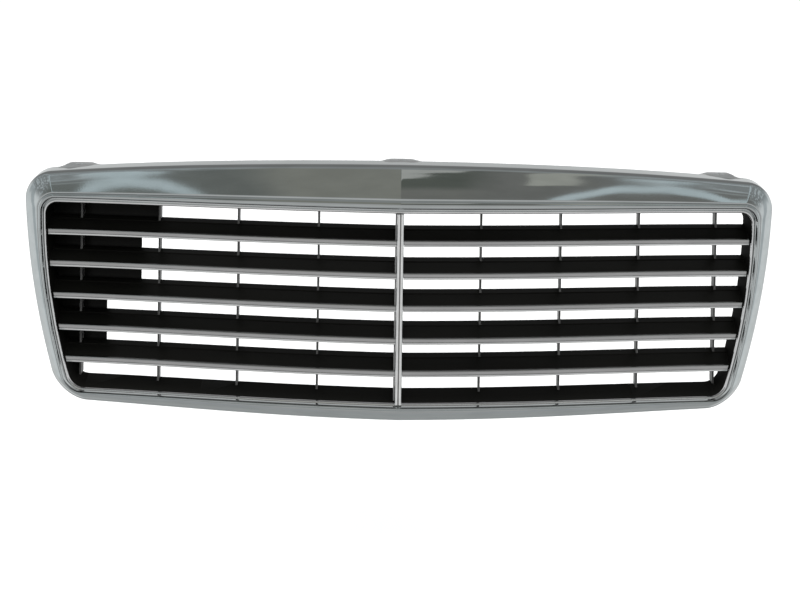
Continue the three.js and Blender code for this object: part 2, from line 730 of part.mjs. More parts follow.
function buildPost() {
  const top = openingTop - TOUCHING_GAP;
  const front = SLAT_DEPTH + TOUCHING_GAP;
  const low = (depth) => sillAt(0, depth) + CARRIER_INSET + TOUCHING_GAP;
  const profile = [
    [CARRIER_DEPTH, top],
    [front, top],
    [front, low(front)],
    [CARRIER_DEPTH, low(CARRIER_DEPTH)],
  ];
  const place = ([depth, z], t) =>
    new THREE.Vector3(POST_WIDTH * (t - 0.5) - POST_OFFSET, LEAN * z + depth, z);
  addPiece("centre_post", runGeometry(profile, 1, place), blackPlastic);
}

function buildBar() {
  const half = BAR_WIDTH / 2;
  const section = [
    [-half, 1.2],
    [-half, BAR_FRONT + 1.6],
    [-half + 0.6, BAR_FRONT + 0.4],
    [-half + 1.5, BAR_FRONT],
    [-0.9, BAR_FRONT + 0.5],
    [-0.4, BAR_FRONT + BAR_GROOVE],
    [0.4, BAR_FRONT + BAR_GROOVE],
    [0.9, BAR_FRONT + 0.5],
    [half - 1.5, BAR_FRONT],
    [half - 0.6, BAR_FRONT + 0.4],
    [half, BAR_FRONT + 1.6],
    [half, 1.2],
  ];
  const [low, high] = [openingBottom + TOUCHING_GAP, openingTop - TOUCHING_GAP];
  const place = ([x, depth], t) => {
    const z = THREE.MathUtils.lerp(low, high, t);
    return new THREE.Vector3(x, LEAN * z + depth, z);
  };
  addPiece("centre_bar", runGeometry(section, 1, place), chrome);
}

// ---------- Blanking panel ----------

// The panel steps inwards row by row. Each cell spans one row between two of the step lines.
function buildPanel() {
  const near = CARRIER_DEPTH + PANEL_GAP;
  const far = near + PANEL_THICKNESS;
  const edges = PANEL_BAYS.map((bays) => openingHalfWidth - END_BAY - bays * ribPitch);
  const lines = [...new Set(edges)].sort((a, b) => b - a);
  const stepBelowRow = (row) => rowHeight(row) + BLADE_RISE;
  let body;
  edges.forEach((edgeX, row) => {
    const high = row === 0 ? openingTop + PANEL_OVERLAP : stepBelowRow(row - 1);
    const low = row === SLAT_ROWS ? openingBottom - PANEL_SILL_LAP : stepBelowRow(row);
    const sides = [null, ...lines.filter((x) => x >= edgeX)];
    for (let i = 0; i < sides.length - 1; i++) {
      const outer = (z) => sides[i] ?? panelSide(z);
      const inner = sides[i + 1];
      const cell = [
        [0, low],
        [1, low],
        [1, high],
        [0, high],
      ];
      const place = ([across, z], t) => {
        const x = THREE.MathUtils.lerp(outer(z), inner, across);
        return onFace(-x, z, THREE.MathUtils.lerp(near, far, t));
      };
      const piece = solid(runGeometry(cell, 1, place));
      body = body ? body.add(piece) : piece;
    }
  });
  for (const screw of panelScrews) {
    const seat = sweep(screw.x) + LEAN * screw.z;
    const hole = rod(screw.x, screw.z, SCREW_RADIUS + SCREW_CLEARANCE, seat + near - 4, seat + far + 4);
    body = body.subtract(solid(hole));
  }
  addPiece("blanking_panel", geometryOf(body), blackPlastic);
}

const panelSide = (z) => {
  const level = THREE.MathUtils.clamp(z, openingBottom + OPENING_RADIUS, openingTop - OPENING_RADIUS);
  return halfWidthAt(ringOutline, level) + PANEL_OVERLAP;
};

// ---------- Fasteners ----------

// A pan-head screw that enters along -Y, with its head's underside at the given depth.
function screwGeometry(screw, depth) {
  const profile = [
    [0, -SCREW_LENGTH],
    [SCREW_RADIUS * 0.35, -SCREW_LENGTH],
    [SCREW_RADIUS, 2.5 - SCREW_LENGTH],
    [SCREW_RADIUS, 0],
    [SCREW_HEAD_RADIUS, 0],
    [SCREW_HEAD_RADIUS, SCREW_HEAD_HEIGHT * 0.55],
    [SCREW_HEAD_RADIUS * 0.6, SCREW_HEAD_HEIGHT],
    [0, SCREW_HEAD_HEIGHT],
  ].map(([r, y]) => new THREE.Vector2(r, y));
  const seat = sweep(screw.x) + LEAN * screw.z + depth;
  return new THREE.LatheGeometry(profile, ROUND_SEGMENTS).translate(screw.x, seat, screw.z);
}

function buildScrews() {
  const insertSeat = tabRear + TOUCHING_GAP;
  const panelSeat = CARRIER_DEPTH + PANEL_GAP + PANEL_THICKNESS + HEAD_CLEARANCE;
  for (const screw of insertScrews) addPiece(screw.name, screwGeometry(screw, insertSeat), zincSteel);
  for (const screw of panelScrews) addPiece(screw.name, screwGeometry(screw, panelSeat), zincSteel);
}

// ---------- Assembly ----------

buildSurround();
buildTrimRing();
buildCarrier();
buildRows();
buildRibs();
buildPost();
buildBar();
buildPanel();
buildScrews();

// The origin is the seat behind the middle ear's hole.
const middleEar = ears[1];
const seatY = middleEar.rearEdge + EAR_SEAT_SETBACK;
model.position.set(0, -seatY, -middleEar.padTop);

const grille = new THREE.Group();
grille.add(model);

export default grille;
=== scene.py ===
# The looks of a chromed front grille with a black louvred insert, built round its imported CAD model.
# Lengths in the shape formulas are millimetres; every mesh is written in metres in the row's frame.
import math

import bmesh
import bpy
from mathutils import Matrix, Vector


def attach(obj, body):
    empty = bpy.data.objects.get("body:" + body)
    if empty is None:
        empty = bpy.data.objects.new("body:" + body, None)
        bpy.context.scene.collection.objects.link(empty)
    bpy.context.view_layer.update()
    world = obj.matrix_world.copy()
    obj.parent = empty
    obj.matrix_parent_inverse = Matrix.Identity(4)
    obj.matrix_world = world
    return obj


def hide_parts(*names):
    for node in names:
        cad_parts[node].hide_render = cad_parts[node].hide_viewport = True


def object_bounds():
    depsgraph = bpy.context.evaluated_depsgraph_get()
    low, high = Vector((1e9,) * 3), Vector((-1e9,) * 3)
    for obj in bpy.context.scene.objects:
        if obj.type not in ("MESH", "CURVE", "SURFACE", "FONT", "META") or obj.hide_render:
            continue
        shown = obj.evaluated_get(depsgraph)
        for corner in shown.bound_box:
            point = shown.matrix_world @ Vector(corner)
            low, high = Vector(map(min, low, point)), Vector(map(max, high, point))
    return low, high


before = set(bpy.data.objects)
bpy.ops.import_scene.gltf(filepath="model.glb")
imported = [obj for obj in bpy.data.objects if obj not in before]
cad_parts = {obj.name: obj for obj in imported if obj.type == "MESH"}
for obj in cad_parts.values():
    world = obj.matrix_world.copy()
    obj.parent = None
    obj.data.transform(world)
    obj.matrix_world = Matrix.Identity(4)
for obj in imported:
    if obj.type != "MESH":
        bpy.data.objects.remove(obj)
CAD_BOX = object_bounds()

MM = 0.001
BODY = "root"

# ---------- Driving dimensions, as in the CAD model ----------

LEAN = 0.182
SURROUND_HALF_WIDTH = 367.8
SWEEP_REACH = 0.964 * SURROUND_HALF_WIDTH
SWEEP_VEE = 18.2
SWEEP_CURVE = 51.8
SWEEP_EASING = -24.6

ROW_PITCH = 30.5
SLAT_ROWS = 5
HEAD_DROP = 2
SILL_LIFT = 0.5

SHOULDER = 0.787 * ROW_PITCH
TAPER_HEIGHT = 6.066 * ROW_PITCH
SURROUND_TOP = 72.8
SURROUND_TOP_PEAK = 2.3
SURROUND_TOP_CROWN = 15.4
SURROUND_TAPER = 10.6
SURROUND_TAPER_CURVE = 25.2
SURROUND_TOP_RADIUS = 26
SURROUND_BOTTOM_RADIUS = 26
BOTTOM_RAIL_HEIGHT = 16.1
BOTTOM_RAIL_RISE = 6.2
OPENING_HALF_WIDTH = 346.4
OPENING_TAPER_CURVE = 31.5
OPENING_RADIUS = 11

WALL = 2.2
SHOULDER_WIDTH = 2.6
BEAD_HEIGHT = 12.2
SIDE_REVEAL = 2.2
TOP_REVEAL = 4.9
BOTTOM_REVEAL = 1.2
FLANGE_DEPTH = 28
FLANGE_START = 6
FLANGE_FLARE = 2.2
SIDE_EAR_SETIN = 47.8
EAR_BASE_WIDTH = 44
EAR_WIDTH = 22
EAR_LENGTH = 15
EAR_RAMP = 9
EAR_SIDE_SLOPE = 0.9
EAR_SUNK = 0.2
EAR_THICKNESS = 2.4
MIDDLE_EAR_RISE = 0.7
SIDE_EAR_RISE = 1.9
EAR_HOLE_RADIUS = 3.7
EAR_HOLE_SETBACK = 0.5
EAR_SEAT_SETBACK = 9

RING_FRONT = -2.6
RING_COVER = 2.8
RING_THICKNESS = 1.6
RING_LIP = 1.8
RING_LEDGE = 0.4
RING_BACK = 1
RIM_CLEARANCE = 0.4
CARRIER_DEPTH = 36
CARRIER_INSET = 0.6
SILL_RISE = 6
SLAT_HEIGHT = 5.8
SLAT_DEPTH = 5
SLAT_END_GAP = 1.8
SLAT_BAR_GAP = 0.3
SLOT_DEPTH = 1.6
SLOT_CLEARANCE = 0.5
BLADE_NOSE = 2.1
BLADE_SETBACK = 4
BLADE_DEPTH = CARRIER_DEPTH - BLADE_SETBACK
BLADE_RISE = 12.2  # 0.9 more than the solid louvre's, so that no light shows under the blanking panel
BLADE_THICKNESS = 2.4
BLADE_REAR_THICKNESS = 1.8
BLADE_STEP = 0.5
BLADE_END_GAP = 0.3
RIB_DEPTH = 11.5
RIB_FRONT = CARRIER_DEPTH - RIB_DEPTH
POST_WIDTH = 5.2
POST_OFFSET = 2
POST_GAP = 0.05
BAR_WIDTH = 6.6
BAR_FRONT = -5.3
BAR_GROOVE = 1.3
BAR_TOP_GAP = 0.3
BAR_FOOT = 0.4
GROOVE_REACH = 0.7

# Steps along the curves of the visible surfaces.
TOP_STEPS = 34
SIDE_STEPS = 16
CORNER_STEPS = 12
RUN_STEPS = 26
CENTRE_CROWDING = 1.6  # above 1, the steps crowd towards the vee on the centre line
FILLET_STEPS = 4

OPENING_TOP = ROW_PITCH - HEAD_DROP
OPENING_BOTTOM = -SLAT_ROWS * ROW_PITCH + SLAT_HEIGHT / 2 + SILL_LIFT
INNER_BOTTOM = OPENING_BOTTOM - BOTTOM_REVEAL

SEAT_Z = SURROUND_TOP + FLANGE_FLARE + MIDDLE_EAR_RISE
SEAT_Y = LEAN * (SURROUND_TOP + FLANGE_FLARE) + FLANGE_DEPTH + EAR_SEAT_SETBACK


# ---------- The swept face and the outlines on it ----------


def sweep(x):
    t = abs(x) / SWEEP_REACH
    return SWEEP_VEE * t + SWEEP_CURVE * t**2 + SWEEP_EASING * t**4


def on_face(x, z, depth):
    """A point behind the face that the slats' fronts lie on, in metres in the row's frame."""
    return Vector((x, sweep(x) + LEAN * z + depth - SEAT_Y, z - SEAT_Z)) * MM


def bezier_corner(start, corner, end):
    NEAR_CIRCLE = 0.5523  # the reach of a cubic curve's handles that makes it look round
    a = start.lerp(corner, NEAR_CIRCLE)
    b = end.lerp(corner, NEAR_CIRCLE)
    points = []
    for i in range(CORNER_STEPS):
        t = i / CORNER_STEPS
        s = 1 - t
        points.append(s**3 * start + 3 * s * s * t * a + 3 * s * t * t * b + t**3 * end)
    return points


class Outline:
    """A mirrored outline seen from the front: half of it from top centre to bottom centre, and the loop."""

    def __init__(self, half_width, top, bottom, top_radius, bottom_radius,
                 peak=0, crown=0, taper=0, taper_curve=OPENING_TAPER_CURVE, rise=0):
        self.half_width = half_width
        self.top, self.peak, self.crown = top, peak, crown
        self.taper, self.taper_curve = taper, taper_curve
        self.bottom, self.rise = bottom, rise
        top_corner = Vector((self.side_at(self.top_at(half_width)), self.top_at(half_width)))
        low_corner = Vector((self.side_at(bottom), self.bottom_at(self.side_at(bottom))))
        top_end = top_corner.x - top_radius
        side_start = top_corner.y - top_radius
        side_end = low_corner.y + bottom_radius
        bottom_start = low_corner.x - bottom_radius
        half = []
        for i in range(TOP_STEPS):
            x = top_end * (i / TOP_STEPS) ** CENTRE_CROWDING
            half.append(Vector((x, self.top_at(x))))
        start = Vector((top_end, self.top_at(top_end)))
        end = Vector((self.side_at(side_start), side_start))
        half += bezier_corner(start, top_corner, end)
        for i in range(SIDE_STEPS):
            z = side_start + (side_end - side_start) * i / SIDE_STEPS
            half.append(Vector((self.side_at(z), z)))
        start = Vector((self.side_at(side_end), side_end))
        end = Vector((bottom_start, self.bottom_at(bottom_start)))
        half += bezier_corner(start, low_corner, end)
        for i in range(TOP_STEPS + 1):
            x = bottom_start * (1 - i / TOP_STEPS) ** CENTRE_CROWDING
            half.append(Vector((x, self.bottom_at(x))))
        self.half = half
        self.loop = half + [Vector((-p.x, p.y)) for p in reversed(half[1:-1])]

    def top_at(self, x):
        share = abs(x) / self.half_width
        return self.top - self.peak * share - self.crown * share**2

    def side_at(self, z):
        fall = (SHOULDER - z) / TAPER_HEIGHT
        return self.half_width - self.taper * fall - self.taper_curve * fall * abs(fall)

    def bottom_at(self, x):
        return self.bottom + self.rise * (x / self.half_width) ** 2

    def half_width_at(self, z):
        for a, b in zip(self.half[TOP_STEPS:], self.half[TOP_STEPS + 1:]):
            if b.y <= z <= a.y:
                return a.x + (b.x - a.x) * (a.y - z) / (a.y - b.y)
        return self.side_at(z)


def opening_outline(side, top, bottom, sill_rise=0):
    return Outline(
        half_width=OPENING_HALF_WIDTH + side,
        top=OPENING_TOP + top,
        bottom=OPENING_BOTTOM - bottom + sill_rise,
        top_radius=OPENING_RADIUS + side,
        bottom_radius=OPENING_RADIUS + side,
    )


OUTER = Outline(
    half_width=SURROUND_HALF_WIDTH,
    top=SURROUND_TOP,
    bottom=INNER_BOTTOM - BOTTOM_RAIL_HEIGHT,
    top_radius=SURROUND_TOP_RADIUS,
    bottom_radius=SURROUND_BOTTOM_RADIUS,
    peak=SURROUND_TOP_PEAK,
    crown=SURROUND_TOP_CROWN,
    taper=SURROUND_TAPER,
    taper_curve=SURROUND_TAPER_CURVE,
    rise=BOTTOM_RAIL_RISE,
)
INNER = opening_outline(SIDE_REVEAL, TOP_REVEAL, BOTTOM_REVEAL)
RING = opening_outline(0, 0, 0)
REAR = opening_outline(0, 0, 0, SILL_RISE)
OUTWARD = [(p - q).normalized() for p, q in zip(OUTER.loop, RING.loop)]


# ---------- Mesh helpers ----------


def filleted(section):
    """A closed section of (u, v, radius) corners, each rounded by a short curve of FILLET_STEPS points."""
    count = len(section)
    corners = [Vector(corner[:2]) for corner in section]
    points = []
    for i, corner in enumerate(corners):
        radius = section[i][2]
        before = corners[i - 1] - corner
        after = corners[(i + 1) % count] - corner
        start = corner + before * min(0.5, radius / before.length)
        end = corner + after * min(0.5, radius / after.length)
        for step in range(FILLET_STEPS):
            t = step / (FILLET_STEPS - 1)
            points.append((1 - t) ** 2 * start + 2 * t * (1 - t) * corner + t * t * end)
    return points


SHARP_ANGLE = math.radians(50)
SAME_PLACE = 0.001 * MM
FRONT_FACING = -0.2
LARGE_FACE_WEIGHT = 60


def new_piece(name, vertices, faces, material, replaces=()):
    """A visible piece in one material, smooth but for its sharp edges, in place of the CAD nodes named."""
    mesh = bpy.data.meshes.new(name)
    mesh.from_pydata(vertices, [], faces)
    bm = bmesh.new()
    bm.from_mesh(mesh)
    bmesh.ops.remove_doubles(bm, verts=bm.verts, dist=SAME_PLACE)
    bmesh.ops.recalc_face_normals(bm, faces=bm.faces)
    for edge in bm.edges:
        edge.smooth = edge.is_boundary or edge.calc_face_angle(0) < SHARP_ANGLE
    bm.to_mesh(mesh)
    bm.free()
    mesh.shade_smooth()
    piece = bpy.data.objects.new(name, mesh)
    bpy.context.scene.collection.objects.link(piece)
    mesh.materials.append(material)
    normals = piece.modifiers.new("weighted_normals", "WEIGHTED_NORMAL")
    normals.weight = LARGE_FACE_WEIGHT
    normals.keep_sharp = True
    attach(piece, BODY)
    if replaces:
        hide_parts(*replaces)
    return piece


def refinish_front(piece, material, picks):
    """A second material for the front faces whose centres, in millimetres, picks() takes."""
    piece.data.materials.append(material)
    for face in piece.data.polygons:
        if face.normal.y < FRONT_FACING and picks(face.center / MM):
            face.material_index = 1


def grid_faces(rows, columns, closed_rows):
    faces = []
    for row in range(rows if closed_rows else rows - 1):
        below = (row + 1) % rows
        for column in range(columns):
            beside = (column + 1) % columns
            faces.append((row * columns + column, row * columns + beside,
                          below * columns + beside, below * columns + column))
    return faces


def ring_mesh(section_at, place):
    """Vertices and faces of a section carried round the whole loop of an outline."""
    count = len(OUTER.loop)
    vertices = []
    for i in range(count):
        vertices += [place(point, i) for point in filleted(section_at(i))]
    columns = len(vertices) // count
    return vertices, grid_faces(count, columns, True)


def run_mesh(section, steps, place):
    """Vertices and faces of a section carried from one flat end to the other."""
    profile = filleted(section)
    columns = len(profile)
    vertices = []
    for step in range(steps + 1):
        vertices += [place(point, step / steps) for point in profile]
    faces = grid_faces(steps + 1, columns, False)
    faces.append(tuple(range(columns)))
    faces.append(tuple(steps * columns + i for i in range(columns)))
    return vertices, faces


# ---------- Materials ----------


class Nodes:
    """A material's node tree with short ways to add the nodes that every finish here needs."""

    def __init__(self, name):
        self.material = bpy.data.materials.new(name)
        self.material.use_nodes = True
        self.tree = self.material.node_tree
        self.shader = self.tree.nodes["Principled BSDF"]
        self.place = self.tree.nodes.new("ShaderNodeTexCoord").outputs["Object"]

    def link(self, source, target):
        self.tree.links.new(source, target)

    def noise(self, scale, detail=2.0, roughness=0.5, stretch=(1, 1, 1), distortion=0.0):
        mapping = self.tree.nodes.new("ShaderNodeMapping")
        mapping.inputs["Scale"].default_value = stretch
        self.link(self.place, mapping.inputs["Vector"])
        noise = self.tree.nodes.new("ShaderNodeTexNoise")
        noise.inputs["Scale"].default_value = scale
        noise.inputs["Detail"].default_value = detail
        noise.inputs["Roughness"].default_value = roughness
        noise.inputs["Distortion"].default_value = distortion
        self.link(mapping.outputs["Vector"], noise.inputs["Vector"])
        return noise.outputs["Fac"]

    def remap(self, value, low, high, to_low, to_high):
        node = self.tree.nodes.new("ShaderNodeMapRange")
        node.inputs["From Min"].default_value = low
        node.inputs["From Max"].default_value = high
        node.inputs["To Min"].default_value = to_low
        node.inputs["To Max"].default_value = to_high
        self.link(value, node.inputs["Value"])
        return node.outputs["Result"]

    def mix(self, factor, first, second):
        node = self.tree.nodes.new("ShaderNodeMix")
        node.data_type = "RGBA"
        self.link(factor, node.inputs["Factor"])
        for socket, value in ((node.inputs[6], first), (node.inputs[7], second)):
            if isinstance(value, tuple):
                socket.default_value = (*value, 1)
            else:
                self.link(value, socket)
        return node.outputs[2]

    def bump(self, height, distance, strength=1.0, under=None):
        node = self.tree.nodes.new("ShaderNodeBump")
        node.inputs["Distance"].default_value = distance
        node.inputs["Strength"].default_value = strength
        self.link(height, node.inputs["Height"])
        if under:
            self.link(under, node.inputs["Normal"])
        return node.outputs["Normal"]

    def edge_wear_and_highlight(self, radius):
        """Near 1 on edges, 0 on flat stretches: used both for edges that hands and cloths rub and as a
        painted highlight on edges that catch light.
        """
        bevel = self.tree.nodes.new("ShaderNodeBevel")
        bevel.samples = 4
        bevel.inputs["Radius"].default_value = radius
        geometry = self.tree.nodes.new("ShaderNodeNewGeometry")
        dot = self.tree.nodes.new("ShaderNodeVectorMath")
        dot.operation = "DOT_PRODUCT"
        self.link(bevel.outputs["Normal"], dot.inputs[0])
        self.link(geometry.outputs["Normal"], dot.inputs[1])
        return self.remap(dot.outputs["Value"], 0.98, 0.8, 0.0, 1.0)


def chrome_plating(name, tint, base_roughness, wobble):
    """Bright plating on moulded plastic: slightly wavy, with faint haze and finer pits."""
    nodes = Nodes(name)
    shader = nodes.shader
    shader.inputs["Metallic"].default_value = 1.0
    haze = nodes.noise(26, detail=3, roughness=0.6)
    smears = nodes.noise(90, detail=2, stretch=(0.25, 1, 1))
    roughness = nodes.remap(haze, 0.35, 0.7, base_roughness, base_roughness * 1.5)
    nodes.link(roughness, shader.inputs["Roughness"])
    duller = tuple(channel * 0.93 for channel in tint)
    colour = nodes.mix(nodes.remap(smears, 0.4, 0.65, 0, 1), tint, duller)
    nodes.link(colour, shader.inputs["Base Color"])
    waves = nodes.noise(9, detail=1.0, roughness=0.4, stretch=(1, 1, 1.6), distortion=0.6)
    wavy = nodes.bump(waves, wobble)
    pits = nodes.noise(700, detail=2)
    nodes.link(nodes.bump(pits, 0.000004, under=wavy), shader.inputs["Normal"])
    return nodes.material


def black_plastic(name, dark, light, worn_and_highlit_edge, gloss, roughness=0.3):
    """Moulded black plastic with a fine grain, flow marks and paler edges, partly rubbed and partly a
    painted highlight.
    """
    nodes = Nodes(name)
    shader = nodes.shader
    flow = nodes.noise(14, detail=4, stretch=(0.3, 1, 1))
    shade = nodes.mix(nodes.remap(flow, 0.35, 0.7, 0, 1), dark, light)
    # Paler edges: partly wear, partly a painted highlight.
    wear_and_highlight_colour = nodes.mix(nodes.edge_wear_and_highlight(0.0006), shade, worn_and_highlit_edge)
    nodes.link(wear_and_highlight_colour, shader.inputs["Base Color"])
    grain = nodes.noise(2600, detail=2)
    nodes.link(nodes.remap(flow, 0.3, 0.7, roughness, roughness + 0.12), shader.inputs["Roughness"])
    shader.inputs["Specular IOR Level"].default_value = gloss
    nodes.link(nodes.bump(grain, 0.00002), shader.inputs["Normal"])
    return nodes.material


def steel(name, tint, dark_tint, low_roughness, high_roughness):
    """Plated steel in patches of two tints, with fine scratches."""
    nodes = Nodes(name)
    shader = nodes.shader
    shader.inputs["Metallic"].default_value = 1.0
    patches = nodes.noise(180, detail=3)
    colour = nodes.mix(nodes.remap(patches, 0.35, 0.65, 0, 1), tint, dark_tint)
    nodes.link(colour, shader.inputs["Base Color"])
    nodes.link(nodes.remap(patches, 0.3, 0.7, low_roughness, high_roughness), shader.inputs["Roughness"])
    scratches = nodes.noise(900, detail=2, stretch=(1, 0.1, 1))
    nodes.link(nodes.bump(scratches, 0.00001), shader.inputs["Normal"])
    return nodes.material


CHROME = chrome_plating("chrome", (0.56, 0.59, 0.59), 0.045, 0.0003)
TRIM_CHROME = chrome_plating("trim_chrome", (0.54, 0.54, 0.54), 0.12, 0.0002)
# This brighter chrome also goes on the slats' lower lips, where it is a painted highlight.
BRIGHT_CHROME_AND_HIGHLIGHT = chrome_plating("bright_chrome_and_painted_highlight", (0.86, 0.86, 0.86), 0.12, 0.0002)
BAR_CHROME = chrome_plating("bar_chrome", (0.92, 0.92, 0.91), 0.12, 0.0001)
# A much darker chrome for the bar's groove: painted shade in the crease between the ridges.
GROOVE_PAINTED_SHADE_CHROME = chrome_plating("groove_chrome_painted_shade", (0.3, 0.3, 0.3), 0.3, 0.0001)
EAR_CHROME = chrome_plating("ear_chrome", (0.93, 0.94, 0.94), 0.38, 0.0001)
# The third tone is the paler edge colour: partly wear, partly a painted highlight on edges.
DEEP, DARK, RUBBED_AND_HIGHLIT = (0.004, 0.004, 0.0035), (0.007, 0.007, 0.0062), (0.018, 0.018, 0.016)
BLACK = black_plastic("black_plastic", DEEP, DARK, RUBBED_AND_HIGHLIT, 0.1)
DULL_BLACK = black_plastic("dull_black_plastic", DEEP, DARK, RUBBED_AND_HIGHLIT, 0.04, 0.65)
# The ribs get a much paler black than the rest of the insert: a painted highlight for the light they catch.
RIB_BLACK_PAINTED_HIGHLIGHT = black_plastic("rib_plastic_painted_highlight", (0.05, 0.05, 0.048), (0.08, 0.08, 0.078), (0.2, 0.2, 0.2), 0.4)
POST_GREY = black_plastic("post_plastic", (0.16, 0.16, 0.16), (0.2, 0.2, 0.2), (0.3, 0.3, 0.3), 0.4)
ZINC = steel("zinc_steel", (0.55, 0.54, 0.5), (0.4, 0.4, 0.38), 0.25, 0.45)


# ---------- Chromed surround ----------

SOFT = 50  # a radius larger than any side, so the corner rounds off all the way between its neighbours


def surround_section(i):
    """The hollow section at one point of the loop: distance in from the outer edge, depth, radius."""
    width = (OUTER.loop[i] - INNER.loop[i]).length
    front = RING_FRONT - RIM_CLEARANCE

    def face(share, depth, radius=SOFT):
        return (SHOULDER_WIDTH + share * (width - SHOULDER_WIDTH), depth, radius)

    return [
        (-FLANGE_FLARE, FLANGE_DEPTH, 0.4),
        (-0.2, FLANGE_START, 3),
        (0.9, 2.6, SOFT),
        (SHOULDER_WIDTH, 0.6, SOFT),
        face(0.12, -1.4),
        face(0.32, -4.9),
        face(0.55, -8.0),
        face(0.74, -9.9, 0.6),
        face(0.775, -9.4, 0.4),
        face(0.82, 0.9 - BEAD_HEIGHT),
        face(0.9, -BEAD_HEIGHT),
        face(0.97, 1.1 - BEAD_HEIGHT),
        (width, 3.2 - BEAD_HEIGHT, 0.8),
        (width, front, 0.4),
        (width - WALL, front, 0.4),
        (width - WALL, -7.4, 1),
        face(0.55, -5.4),
        face(0.14, 1.4),
        (WALL, FLANGE_START, SOFT),
        (WALL - FLANGE_FLARE, FLANGE_DEPTH, 0.4),
    ]


def place_surround(point, i):
    outer, inner = OUTER.loop[i], INNER.loop[i]
    p = outer.lerp(inner, point.x / (inner - outer).length)
    return on_face(p.x, p.y, point.y)


def build_surround():
    vertices, faces = ring_mesh(surround_section, place_surround)
    new_piece("surround_shell", vertices, faces, CHROME, ["surround_frame"])
    side = SURROUND_HALF_WIDTH - SIDE_EAR_SETIN
    build_ear("left", -side, SIDE_EAR_RISE)
    build_ear("middle", 0, MIDDLE_EAR_RISE)
    build_ear("right", side, SIDE_EAR_RISE)


EAR_POINTS = 72
EAR_RINGS = 12
EAR_CROWDING = 1.5  # above 1, the rings crowd towards the hole


def smooth(t):
    t = min(max(t, 0), 1)
    return t * t * (3 - 2 * t)


def resampled(points, count):
    """A closed line's points, taken again at equal distances."""
    closed = points + [points[0]]
    lengths = [0.0]
    for a, b in zip(closed, closed[1:]):
        lengths.append(lengths[-1] + (b - a).length)
    result = []
    segment = 0
    for i in range(count):
        distance = lengths[-1] * i / count
        while lengths[segment + 1] < distance:
            segment += 1
        share = (distance - lengths[segment]) / max(lengths[segment + 1] - lengths[segment], 1e-9)
        result.append(closed[segment].lerp(closed[segment + 1], share))
    return result


def build_ear(name, middle, rise):
    """A bonnet ear: a skin that swells out of the flange to a flat pad, with a hole through it."""
    rear_edge = sweep(middle) + LEAN * (OUTER.top_at(middle) + FLANGE_FLARE) + FLANGE_DEPTH
    pad_top = OUTER.top_at(middle) + FLANGE_FLARE + rise
    base, rear = EAR_BASE_WIDTH / 2, EAR_WIDTH / 2

    def height(x, y):
        flare = FLANGE_FLARE * (1 + min(y, 0) / (FLANGE_DEPTH - FLANGE_START))
        flange = OUTER.top_at(middle + x) + flare - EAR_SUNK
        side = smooth((base - abs(x)) / (base - rear) * EAR_SIDE_SLOPE) ** 2
        return flange + (pad_top - flange) * side * min(max(1 + y / EAR_RAMP, 0), 1)

    plan = filleted([
        (-base, -EAR_RAMP, 2),
        (base, -EAR_RAMP, 2),
        (base, 0, 6),
        (rear, EAR_LENGTH, 6),
        (-rear, EAR_LENGTH, 6),
        (-base, 0, 6),
    ])
    centre = Vector((0, EAR_HOLE_SETBACK))
    vertices = []
    for ring in range(EAR_RINGS + 1):
        for edge in resampled(plan, EAR_POINTS):
            hole = centre + (edge - centre).normalized() * EAR_HOLE_RADIUS
            p = hole.lerp(edge, (ring / EAR_RINGS) ** EAR_CROWDING)
            z = height(p.x, p.y)
            vertices.append(Vector((middle + p.x, rear_edge + p.y - SEAT_Y, z - SEAT_Z)) * MM)
    faces = grid_faces(EAR_RINGS + 1, EAR_POINTS, False)
    piece = new_piece(f"bonnet_ear_{name}", vertices, faces, EAR_CHROME)
    thickness = piece.modifiers.new("thickness", "SOLIDIFY")
    thickness.thickness = EAR_THICKNESS * MM
    thickness.offset = -1


# ---------- Trim ring ----------


def place_insert(point, i):
    """A point of the insert's sections: distance out from the opening's edge, and depth."""
    t = min(max(point.y / CARRIER_DEPTH, 0), 1)
    p = RING.loop[i].lerp(REAR.loop[i], t) + OUTWARD[i] * point.x
    return on_face(p.x, p.y, point.y)


def trim_section(i):
    """The ring's section at one point of the loop: a rounded lip, and a ledge under the surround's edge."""
    cover = (INNER.loop[i] - RING.loop[i]).length + RING_COVER
    ledge = RING_FRONT + RING_LEDGE
    back = ledge + RING_THICKNESS
    return [
        (0, RING_BACK, 0.3),
        (0, RING_FRONT + 1.4, 0.5),
        (0.8, RING_FRONT + 0.3, SOFT),
        (RING_LIP, RING_FRONT, SOFT),
        (RING_LIP + 1.1, ledge, 0.6),
        (cover, ledge, 0.2),
        (cover, back, 0.2),
        (RING_LIP, back, 0.2),
        (RING_LIP, RING_BACK, 0.2),
    ]


def build_trim_ring():
    vertices, faces = ring_mesh(trim_section, place_insert)
    new_piece("trim_ring_shell", vertices, faces, BRIGHT_CHROME_AND_HIGHLIGHT, ["trim_ring"])


# ---------- Louvres, slats and centre bar ----------

# Each section below is a list of (depth, height, radius) corners.


def blade_top(depth):
    return BLADE_THICKNESS / 2 + BLADE_RISE * (depth - SLAT_DEPTH) / (BLADE_DEPTH - SLAT_DEPTH)


BLADE_SECTION = [
    (BLADE_NOSE, BLADE_THICKNESS / 2, 0.4),
    (SLAT_DEPTH, BLADE_THICKNESS / 2, 1),
    (RIB_FRONT - 1, blade_top(RIB_FRONT - 1), 0.2),
    (RIB_FRONT - 0.6, blade_top(RIB_FRONT) + BLADE_STEP, 0.2),
    (BLADE_DEPTH, blade_top(BLADE_DEPTH), 0.5),
    (BLADE_DEPTH, blade_top(BLADE_DEPTH) - BLADE_REAR_THICKNESS, 0.5),
    (SLAT_DEPTH, -BLADE_THICKNESS / 2, 1),
    (BLADE_NOSE, -BLADE_THICKNESS / 2, 0.4),
]

